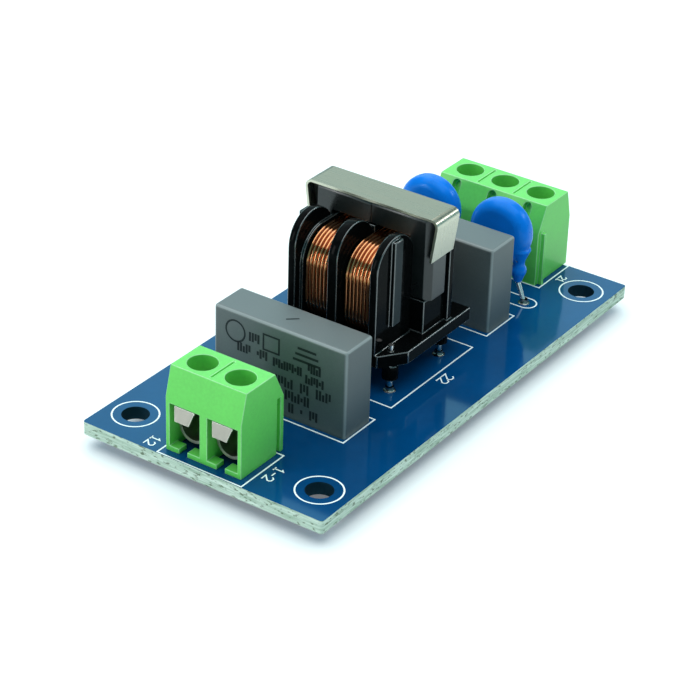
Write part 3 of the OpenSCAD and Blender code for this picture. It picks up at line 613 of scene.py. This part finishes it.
class FILTER_OT_finishes(bpy.types.Operator):
    """Make the finishes and put them on the module's solids"""

    bl_idname = "filter.finishes"
    bl_label = "Finishes"

    # How far the edges of a solid are eased, in millimetres, the finish of the eased edges (a paler
    # painted highlight on all but the ferrite) and whether the easing gives way where edges are close
    # together
    EASED = {
        "output_terminal_housing": (0.085, "terminal_edge", False),
        "input_terminal_housing": (0.085, "terminal_edge", False),
        "choke_bobbin": (0.11, "bobbin_edge", False),
        "ferrite_clip": (0.06, "clip_edge", True),
        "lower_ferrite_half": (0.08, "ferrite", True),
        "upper_ferrite_half": (0.08, "ferrite", True),
        "output_wire_guards": (0.04, "clip_edge", True),
        "input_wire_guards": (0.04, "clip_edge", True),
        "output_terminal_cages": (0.04, "clip_edge", True),
        "input_terminal_cages": (0.04, "clip_edge", True),
    }
    # Points closer than this are one, and faces that turn by less than this are flat
    JOIN = 0.001 * MM
    FLAT_TURN = math.radians(0.5)
    # Least turns at an edge that is shaded sharp and at one that is eased
    SHARP_TURN = math.radians(28)
    EASED_TURN = math.radians(32)
    # Least sideways share of a rib face's direction, and how far it may lie inside the outermost
    RIB_FACING, RIB_SLACK = 0.99, 0.05 * MM

    def ease(self, solid, width, slot, gives_way):
        """Joins the imported faces and rounds the edges between them."""
        joined = solid.modifiers.new("Joined faces", "WELD")
        joined.merge_threshold = self.JOIN
        flatten = solid.modifiers.new("Flat faces", "DECIMATE")
        flatten.decimate_type = "DISSOLVE"
        flatten.angle_limit = self.FLAT_TURN
        edge = solid.modifiers.new("Eased edges", "BEVEL")
        edge.width = width * MM
        edge.segments = 2
        edge.limit_method = "ANGLE"
        edge.angle_limit = self.EASED_TURN
        edge.use_clamp_overlap = gives_way
        # The bevels get their own finish, a paler painted highlight where it differs from the solid's
        if slot != SLOT_OF[solid.name]:
            edge.material = len(solid.data.materials)
            solid.data.materials.append(finish(slot))
        weighted = solid.modifiers.new("Face weights", "WEIGHTED_NORMAL")
        weighted.keep_sharp = True

    def dress_ribs(self, bobbin):
        """Rougher satin surface on the outer faces of the ribs on the front lobes, with a lighter colour as
        painted sheen.
        """
        rib_slot = len(bobbin.data.materials)
        bobbin.data.materials.append(finish("bobbin_rib_sheen"))
        low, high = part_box("choke_bobbin")
        middle_x, middle_z = (low[0] + high[0]) / 2, (low[2] + high[2]) / 2
        sideways = [
            face for face in bobbin.data.polygons
            if abs(face.normal.y) > self.RIB_FACING
            and face.center.z > middle_z and face.center.x < middle_x
        ]
        reach = max(abs(face.center.y) for face in sideways)
        for face in sideways:
            if abs(face.center.y) > reach - self.RIB_SLACK:
                face.material_index = rib_slot

    def execute(self, context):
        make_materials()
        for name, solid in frame["nodes"].items():
            solid.data.materials.clear()
            solid.data.materials.append(finish(SLOT_OF[name]))
            solid.data.shade_smooth()
            solid.data.set_sharp_from_angle(angle=self.SHARP_TURN)
            if name in self.EASED:
                self.ease(solid, *self.EASED[name])
        self.dress_ribs(frame["nodes"]["choke_bobbin"])
        return {"FINISHED"}


class FILTER_OT_board_print(bpy.types.Operator):
    """Print the outlines, rings and numbers on the board"""

    bl_idname = "filter.board_print"
    bl_label = "Board print"

    # Outline round a piece: margins before and past it along X, then on its -Y and +Y sides
    OUTLINES = (
        ("choke_bobbin", 1.06, -0.12, 0.68, 0.68),
        ("output_capacitor_case", 0.55, 0.55, 0.2, 0.2),
        ("input_capacitor_case", 0.6, 0.55, 0.2, 0.2),
        ("output_terminal_housing", 1.0, -0.96, 0.78, -0.13),
        ("input_terminal_housing", 0.07, -0.6, 0.13, 0.08),
    )
    # Half width of a rounded outline, and how far it passes the leads outwards and inwards
    PILL = (1.2, 1.25, 0.65)
    # Numbers, the piece they belong to, where they start from its low corner and their size
    NUMBERS = (
        ("1-2", "output_terminal_housing", 4.35, -1.5, 1.0),
        ("12", "output_terminal_housing", 1.25, 12.9, 1.0),
        ("21", "input_terminal_housing", 4.2, -0.7, 0.78),
        ("22", "choke_bobbin", 8.9, -1.45, 1.1),
    )
    # A number's line against the other lines, and the steps of a ring and of a half ring
    NUMBER_LINE = 0.85
    RING_STEPS, HALF_STEPS = 64, 14

    @staticmethod
    def sides(node):
        """The low and high sides of a node along X and along Y, in millimetres."""
        low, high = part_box(node)
        return ((low[0] / MM, high[0] / MM), (low[1] / MM, high[1] / MM))

    def write(self, sheet, text, right, low, to_world, height, width):
        """Numbers that read towards -X with their tops towards -Y; right and low are their start."""
        for place, digit in enumerate(text):
            pen = place * DIGIT_STEP
            for stroke in STROKES[digit]:
                points = [(right - (pen + x) * height, low - y * height) for x, y in stroke]
                sheet.strip(points, width, to_world)

    def hole_rings(self, sheet, radius, line, at):
        """A ring round each mounting hole."""
        mount = next(m for m in frame["record"]["mounts"] if m["name"] == "mounting_holes")
        half_x = mount["dims"]["spacing_x_mm"] / 2
        half_y = mount["dims"]["spacing_y_mm"] / 2
        for side_x in (-1, 1):
            for side_y in (-1, 1):
                centre = (side_x * half_x, side_y * half_y)
                sheet.strip(arc(centre, radius, 0.0, math.tau, self.RING_STEPS), line, at, closed=True)

    def outlines(self, sheet, line, at):
        """A rectangle round each piece, and a rounded outline round each disc's leads."""
        for node, before, past, right, left in self.OUTLINES:
            (x0, x1), (y0, y1) = self.sides(node)
            x0, x1, y0, y1 = x0 - before, x1 + past, y0 - right, y1 + left
            sheet.strip([(x0, y0), (x1, y0), (x1, y1), (x0, y1)], line, at, closed=True)
        half, outwards, inwards = self.PILL
        for node in ("lower_disc_leads", "upper_disc_leads"):
            (x0, x1), (y0, y1) = self.sides(node)
            middle = (x0 + x1) / 2
            below, above = (outwards, inwards) if y0 + y1 < 0 else (inwards, outwards)
            foot = arc((middle, y0 - below + half), half, math.pi, math.pi, self.HALF_STEPS)
            head = arc((middle, y1 + above - half), half, 0.0, math.pi, self.HALF_STEPS)
            sheet.strip(foot + head, line, at, closed=True)

    def execute(self, context):
        sizes = context.scene.filter_print
        at = on_board(sizes.lift)
        line = sizes.line / MM
        digit = sizes.number / MM
        sheet = Sheet()
        self.hole_rings(sheet, sizes.hole_ring / MM / 2, line, at)
        self.outlines(sheet, line, at)
        for text, node, x, y, size in self.NUMBERS:
            (x0, _), (y0, _) = self.sides(node)
            self.write(sheet, text, x0 + x, y0 + y, at, digit * size, line * self.NUMBER_LINE)
        add_piece("board_print", sheet.mesh("board_print"), "white_print")
        return {"FINISHED"}


# Plain ticks and dots of the rows on a capacitor: low and high end in a cell one unit high
TICKS = {"|": (0.0, 1.0), "!": (0.35, 1.0), ",": (0.0, 0.6), ":": (0.4, 0.62)}


class FILTER_OT_case_print(bpy.types.Operator):
    """Print rows of plain ticks and a few plain outlines on the output side capacitor"""

    bl_idname = "filter.case_print"
    bl_label = "Capacitor print"

    # Each row: start from the face's left, height of its foot, its size in mark heights, its ticks
    ROWS = (
        (5.0, 8.1, 0.9, "||!|"), (3.4, 6.35, 0.9, "||,|!  :|!|"), (8.3, 6.1, 0.85, "|!|,||!|:||"),
        (13.0, 6.9, 0.85, "!||,|"), (12.7, 5.45, 0.85, "|,|!|:|"), (8.6, 3.95, 1.0, "||!|,|  |!|  ||,|!"),
        (10.0, 2.45, 1.0, "|!|,|:||"), (10.5, 0.95, 0.95, "||  :  |!|"),
    )
    # Centre, half width, half height and number of corners of each plain outline
    OUTLINES = ((3.0, 8.55, 1.3, 1.3, 24), (7.9, 8.55, 1.5, 1.35, 4))
    # Ends and height of each bar, and the two ends of the stroke on the top
    BARS = ((11.0, 14.4, 7.9), (11.3, 14.1, 8.65), (11.6, 13.8, 9.4))
    TOP_STROKE = ((8.5, 2.1), (9.4, 2.9))
    # From one tick to the next in tick heights, and how thick the marks are against a board line
    PITCH = 0.45
    OUTLINE_LINE, STROKE_LINE, TICK_LINE = 1.2, 1.44, 1.56

    def execute(self, context):
        sizes = context.scene.filter_print
        low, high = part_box("output_capacitor_case")
        skin = 0.01 * MM
        line = sizes.line / MM
        height = sizes.glyph / MM
        sheet = Sheet()

        def on_face(p):
            return Vector((low[0] - skin, high[1] - p[0] * MM, low[2] + p[1] * MM))

        def on_top(p):
            return Vector((low[0] + p[1] * MM, high[1] - p[0] * MM, high[2] + skin))

        for start, foot, size, row in self.ROWS:
            for place, tick in enumerate(row):
                if tick in TICKS:
                    pen = start + place * self.PITCH * size * height
                    ends = [(pen, foot + end * size * height) for end in TICKS[tick]]
                    sheet.strip(ends, line * self.TICK_LINE, on_face)
        for middle_x, middle_y, half_x, half_y, corners in self.OUTLINES:
            turns = [math.tau * (k + 0.5) / corners for k in range(corners)]
            ring = [(middle_x + half_x * math.cos(t), middle_y + half_y * math.sin(t)) for t in turns]
            sheet.strip(ring, line * self.OUTLINE_LINE, on_face, closed=True)
        for start, end, foot in self.BARS:
            sheet.strip([(start, foot), (end, foot)], line * self.TICK_LINE, on_face)
        sheet.strip(self.TOP_STROKE, line * self.STROKE_LINE, on_top)
        add_piece("capacitor_print", sheet.mesh("capacitor_print"), "case_print")
        return {"FINISHED"}


class FILTER_OT_pads(bpy.types.Operator):
    """Add the tinned rings and the solder that has wicked up the leads"""

    bl_idname = "filter.pads"
    bl_label = "Pads and fillets"

    # Thickness of the tin on a ring, and at the ring's edge
    TIN, TIN_EDGE = 0.012 * MM, 0.001 * MM
    # Clearance of a lead in its hole, and how much wider a ring is below the board than above
    HOLE_FIT, WIDER_BELOW = 0.15 * MM, 0.2 * MM
    # How a fillet's outline closes in on the lead and climbs it, and its steps
    CLOSE_IN, CLIMB, FILLET_STEPS = 2.2, 1.6, 7

    @staticmethod
    def leads():
        """Centre and radius of every lead where it meets the board, from the solder joints' mesh."""
        solder = frame["nodes"]["solder_joints"].data
        islands = bmesh.new()
        islands.from_mesh(solder)
        seen, found = set(), []
        for start in islands.verts:
            if start.index in seen:
                continue
            stack, island = [start], []
            seen.add(start.index)
            while stack:
                vert = stack.pop()
                island.append(vert.co.copy())
                for edge in vert.link_edges:
                    other = edge.other_vert(vert)
                    if other.index not in seen:
                        seen.add(other.index)
                        stack.append(other)
            middle = Vector((
                (min(c.x for c in island) + max(c.x for c in island)) / 2,
                (min(c.y for c in island) + max(c.y for c in island)) / 2,
            ))
            radius = min((c.xy - middle).length for c in island)
            found.append((middle, radius))
        islands.free()
        return found

    def execute(self, context):
        sizes = context.scene.filter_solder
        rings, fillets = Sheet(), Sheet()
        tin, top = self.TIN, BOARD_TOP + self.TIN
        shares = [k / self.FILLET_STEPS for k in range(self.FILLET_STEPS + 1)]
        for middle, radius in self.leads():
            hole = radius + self.HOLE_FIT
            outer = hole + sizes.pad
            wide = outer + self.WIDER_BELOW
            rings.lathe(middle, [(outer, BOARD_TOP + self.TIN_EDGE), (outer - tin, top), (radius, top)])
            rings.lathe(middle, [(wide, -self.TIN_EDGE), (wide - tin, -tin), (hole, -tin)])
            fillets.lathe(middle, [
                (radius + sizes.foot * (1 - t) ** self.CLOSE_IN, top + sizes.fillet * t ** self.CLIMB)
                for t in shares
            ])
        add_piece("pad_rings", rings.mesh("pad_rings"), "solder")
        add_piece("top_fillets", fillets.mesh("top_fillets"), "solder", smooth=True)
        return {"FINISHED"}


class FILTER_OT_coatings(bpy.types.Operator):
    """Let the dipped coating of the disc capacitors flow into its runs"""

    bl_idname = "filter.coatings"
    bl_label = "Disc coatings"

    VOXEL = 0.14 * MM
    FLOW_STEPS = 5

    def execute(self, context):
        for node in ("lower_disc_coating", "upper_disc_coating"):
            mesh = frame["nodes"][node].data.copy()
            mesh.materials.clear()
            piece = add_piece(node + "_flowed", mesh, "coating_blue")
            remesh = piece.modifiers.new("Even mesh", "REMESH")
            remesh.mode = "VOXEL"
            remesh.voxel_size = self.VOXEL
            remesh.use_smooth_shade = True
            flow = piece.modifiers.new("Flow", "SMOOTH")
            flow.factor = 0.5
            flow.iterations = self.FLOW_STEPS
            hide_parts(node)
        return {"FINISHED"}


class FILTER_OT_stage(bpy.types.Operator):
    """Set up the pale floor, the soft lights and the camera"""

    bl_idname = "filter.stage"
    bl_label = "Stage"

    # Where the camera looks from, in degrees, and what it looks at and how far off, in millimetres
    AZIMUTH, ELEVATION, ROLL = -56.13, 30.31, 1.93
    TARGET = (-1.42, 1.718, 1.6)
    DISTANCE = 282.96
    LENS, SENSOR = 125.14, 36.0
    # Name, place, size, power and colour of each soft light, and the point they all face
    LIGHTS = (
        ("Top box", (0.0, 0.04, 0.45), (0.7, 0.7), 2.95, (1, 1, 1)),
        ("Back box", (0.30, 0.21, 0.22), (0.42, 0.3), 0.5, (0.7, 0.97, 1.0)),
        ("Left box", (-0.36, 0.24, 0.10), (0.08, 0.2), 0.42, (1, 1, 1)),
        ("Edge light", (0.33, -0.24, 0.23), (0.09, 0.09), 0.2, (1, 1, 1)),
    )
    AIM = (0, 0, 0.005)
    # Half width of the floor, its drop below the leads and its glow as the camera sees it
    FLOOR_REACH, FLOOR_DROP, FLOOR_GLOW = 1.5, 0.2 * MM, 0.15
    SKY_SEEN, SKY_ON_PART = (1.0, 1.0, 1.0, 1.0), (0.15, 0.36, 0.40, 1.0)

    def camera(self, context):
        az, el, roll = (math.radians(v) for v in (self.AZIMUTH, self.ELEVATION, self.ROLL))
        back = Vector((math.sin(az) * math.cos(el), -math.cos(az) * math.cos(el), math.sin(el)))
        level = Vector((0, 0, 1)).cross(back).normalized()
        upright = back.cross(level)
        right = level * math.cos(roll) + upright * math.sin(roll)
        up = upright * math.cos(roll) - level * math.sin(roll)
        data = bpy.data.cameras.new("Camera")
        data.lens = self.LENS
        data.sensor_width = self.SENSOR
        data.sensor_fit = "HORIZONTAL"
        data.clip_start = 0.01
        data.clip_end = 10.0
        camera = bpy.data.objects.new("Camera", data)
        context.scene.collection.objects.link(camera)
        place = (Vector(self.TARGET) + back * self.DISTANCE) * MM
        turn = Matrix((right, up, back)).transposed().to_4x4()
        camera.matrix_world = Matrix.Translation(place) @ turn
        context.scene.camera = camera

    def light(self, context, name, place, size, power, colour):
        data = bpy.data.lights.new(name, "AREA")
        data.shape = "RECTANGLE"
        data.size, data.size_y = size
        data.energy = power
        data.color = colour
        lamp = bpy.data.objects.new(name, data)
        context.scene.collection.objects.link(lamp)
        lamp.location = place
        lamp.rotation_euler = (Vector(self.AIM) - Vector(place)).to_track_quat("-Z", "Y").to_euler()

    def paper(self):
        """White paper, a little brighter to the camera than to the object."""
        made, wires, shader = new_material("Paper floor", (0.9, 0.9, 0.9))
        place = wires.node("ShaderNodeTexCoord").outputs["Object"]
        noise = wires.node("ShaderNodeTexNoise", {"Vector": place, "Scale": 30.0, "Detail": 2.0})
        wires.feed(
            shader["Base Color"],
            wires.mix(noise.outputs[0], (0.86, 0.86, 0.86, 1), (0.9, 0.9, 0.9, 1)),
        )
        shader["Roughness"].default_value = 0.9
        shader["Specular IOR Level"].default_value = 0.0
        shader["Emission Color"].default_value = (1, 1, 1, 1)
        seen = wires.node("ShaderNodeLightPath").outputs["Is Camera Ray"]
        wires.feed(shader["Emission Strength"], wires.math("MULTIPLY", seen, self.FLOOR_GLOW))
        return made

    def floor(self, context):
        reach, height = self.FLOOR_REACH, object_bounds()[0][2] - self.FLOOR_DROP
        sheet = Sheet()
        sheet.face([(x * reach, y * reach, height) for x, y in ((-1, -1), (1, -1), (1, 1), (-1, 1))])
        floor = bpy.data.objects.new("floor", sheet.mesh("floor"))
        floor.data.materials.append(self.paper())
        context.scene.collection.objects.link(floor)
        floor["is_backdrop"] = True

    def surroundings(self, context):
        """White to the camera and softer to the object, so that black parts stay black."""
        world = bpy.data.worlds.new("Studio")
        world.use_nodes = True
        wires = Wiring(world.node_tree)
        sky = world.node_tree.nodes["Background"].inputs
        seen = wires.node("ShaderNodeLightPath").outputs["Is Camera Ray"]
        wires.feed(sky["Color"], wires.mix(seen, self.SKY_ON_PART, self.SKY_SEEN))
        context.scene.world = world

    def execute(self, context):
        self.camera(context)
        self.floor(context)
        self.surroundings(context)
        context.scene.view_settings.view_transform = "Standard"
        for lamp in self.LIGHTS:
            self.light(context, *lamp)
        return {"FINISHED"}


class FILTER_PT_panel(bpy.types.Panel):
    """Lists the steps that dress the module"""

    bl_idname = "FILTER_PT_panel"
    bl_label = "Line filter"
    bl_space_type = "VIEW_3D"
    bl_region_type = "UI"
    bl_category = "Line filter"

    def draw(self, context):
        layout = self.layout
        for group in ("filter_finishes", "filter_print", "filter_solder"):
            box = layout.box()
            settings = getattr(context.scene, group)
            for name in settings.__annotations__:
                box.prop(settings, name)
        for step in STEPS:
            layout.operator(step.bl_idname)


STEPS = (
    FILTER_OT_finishes,
    FILTER_OT_board_print,
    FILTER_OT_case_print,
    FILTER_OT_pads,
    FILTER_OT_coatings,
    FILTER_OT_stage,
)
CLASSES = (PrintSizes, SolderSizes, Finishes, *STEPS, FILTER_PT_panel)


def register():
    for cls in CLASSES:
        bpy.utils.register_class(cls)
    bpy.types.Scene.filter_print = bpy.props.PointerProperty(type=PrintSizes)
    bpy.types.Scene.filter_solder = bpy.props.PointerProperty(type=SolderSizes)
    bpy.types.Scene.filter_finishes = bpy.props.PointerProperty(type=Finishes)


def unregister():
    del bpy.types.Scene.filter_finishes
    del bpy.types.Scene.filter_solder
    del bpy.types.Scene.filter_print
    for cls in reversed(CLASSES):
        bpy.utils.unregister_class(cls)


def main():
    register()
    bpy.ops.filter.finishes()
    bpy.ops.filter.board_print()
    bpy.ops.filter.case_print()
    bpy.ops.filter.pads()
    bpy.ops.filter.coatings()
    bpy.ops.filter.stage()


if __name__ == "__main__":
    main()
